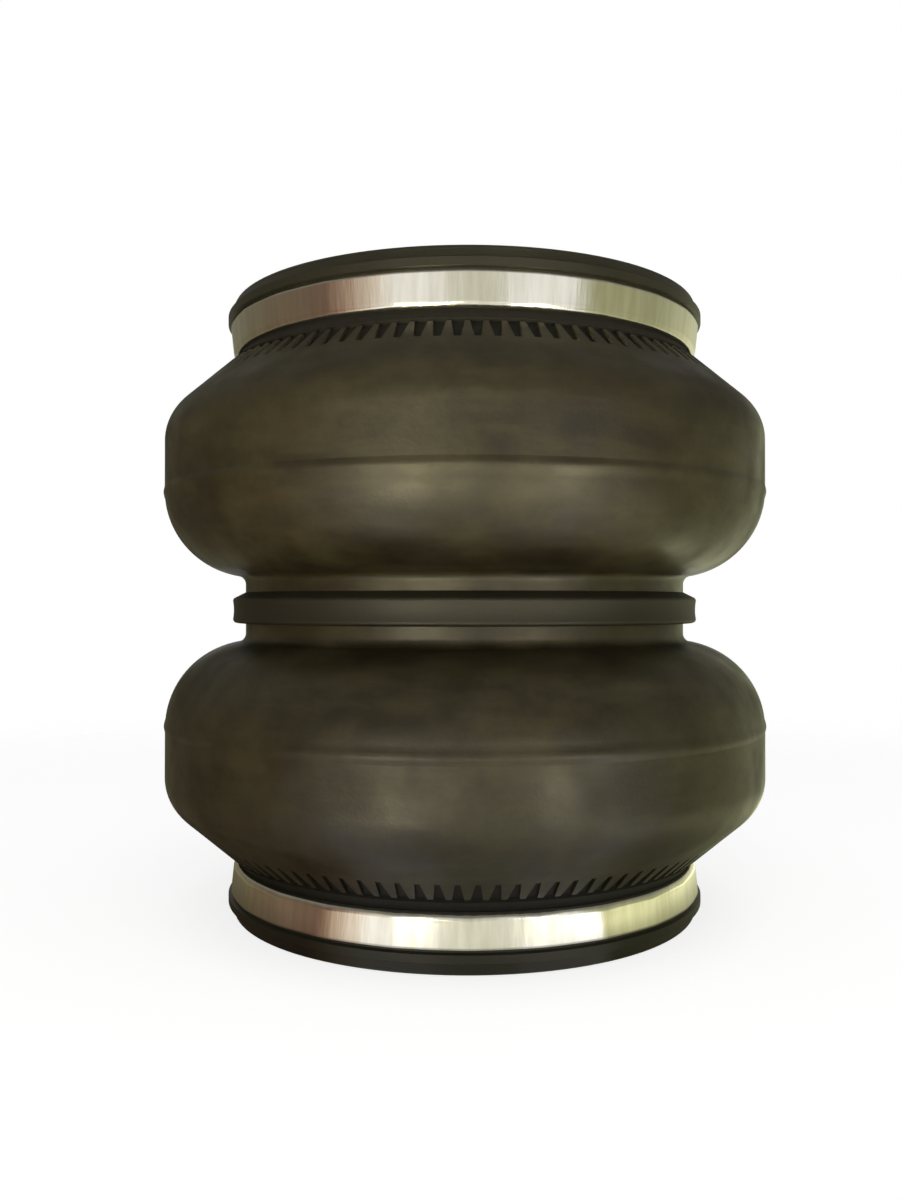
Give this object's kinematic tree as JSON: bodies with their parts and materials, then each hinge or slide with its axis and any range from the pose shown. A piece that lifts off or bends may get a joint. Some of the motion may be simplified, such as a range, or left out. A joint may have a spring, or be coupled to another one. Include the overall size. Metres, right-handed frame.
{
  "type": "air bellows actuator",
  "caption": "Rubber air bellows with two convolutions, a girdle hoop, crimped metal bands and flat end caps; pushes or cushions a load along its axis when filled with air.",
  "frame": {"origin": "middle of the lower end cap's outer face", "axes": "+Z along the stroke, from the lower to the upper end cap; X through the nut inserts of both caps"},
  "size_m": [0.1442, 0.1442, 0.144],
  "materials": {
    "cover_rubber": "matte",
    "cord_ply": "rubbered cord",
    "liner_rubber": "smooth",
    "bead_steel": "drawn wire",
    "hoop_plastic": "satin",
    "band_metal": "rolled, bright",
    "cap_plastic": "moulded, satin",
    "insert_brass": "turned"
  },
  "bodies": {
    "lower_end": {"lower_end_cap": "cap_plastic", "lower_crimp_ring": "band_metal", "lower_bead_wire": "bead_steel", "lower_nut_inserts": "insert_brass"},
    "girdle": {"girdle_hoop": "hoop_plastic", "outer_cover": "cover_rubber", "outer_ply": "cord_ply", "inner_ply": "cord_ply", "inner_liner": "liner_rubber"},
    "upper_end": {"upper_end_cap": "cap_plastic", "upper_crimp_ring": "band_metal", "upper_bead_wire": "bead_steel", "upper_nut_inserts": "insert_brass", "air_port_insert": "insert_brass"}
  },
  "joints": [
    {"name": "lower_convolution", "type": "slide", "parent": "lower_end", "child": "girdle", "axis": [0, 0, 1], "range_m": [-0.035, 0.0185], "stiffness_N_per_m": 6000, "deforming": ["outer_cover", "outer_ply", "inner_ply", "inner_liner"]},
    {"name": "upper_convolution", "type": "slide", "parent": "girdle", "child": "upper_end", "axis": [0, 0, 1], "range_m": [-0.035, 0.0185], "stiffness_N_per_m": 6000, "deforming": ["outer_cover", "outer_ply", "inner_ply", "inner_liner"]}
  ],
  "couplings": [
    {"joint": "upper_convolution", "follows": "lower_convolution", "ratio": 1}
  ]
}
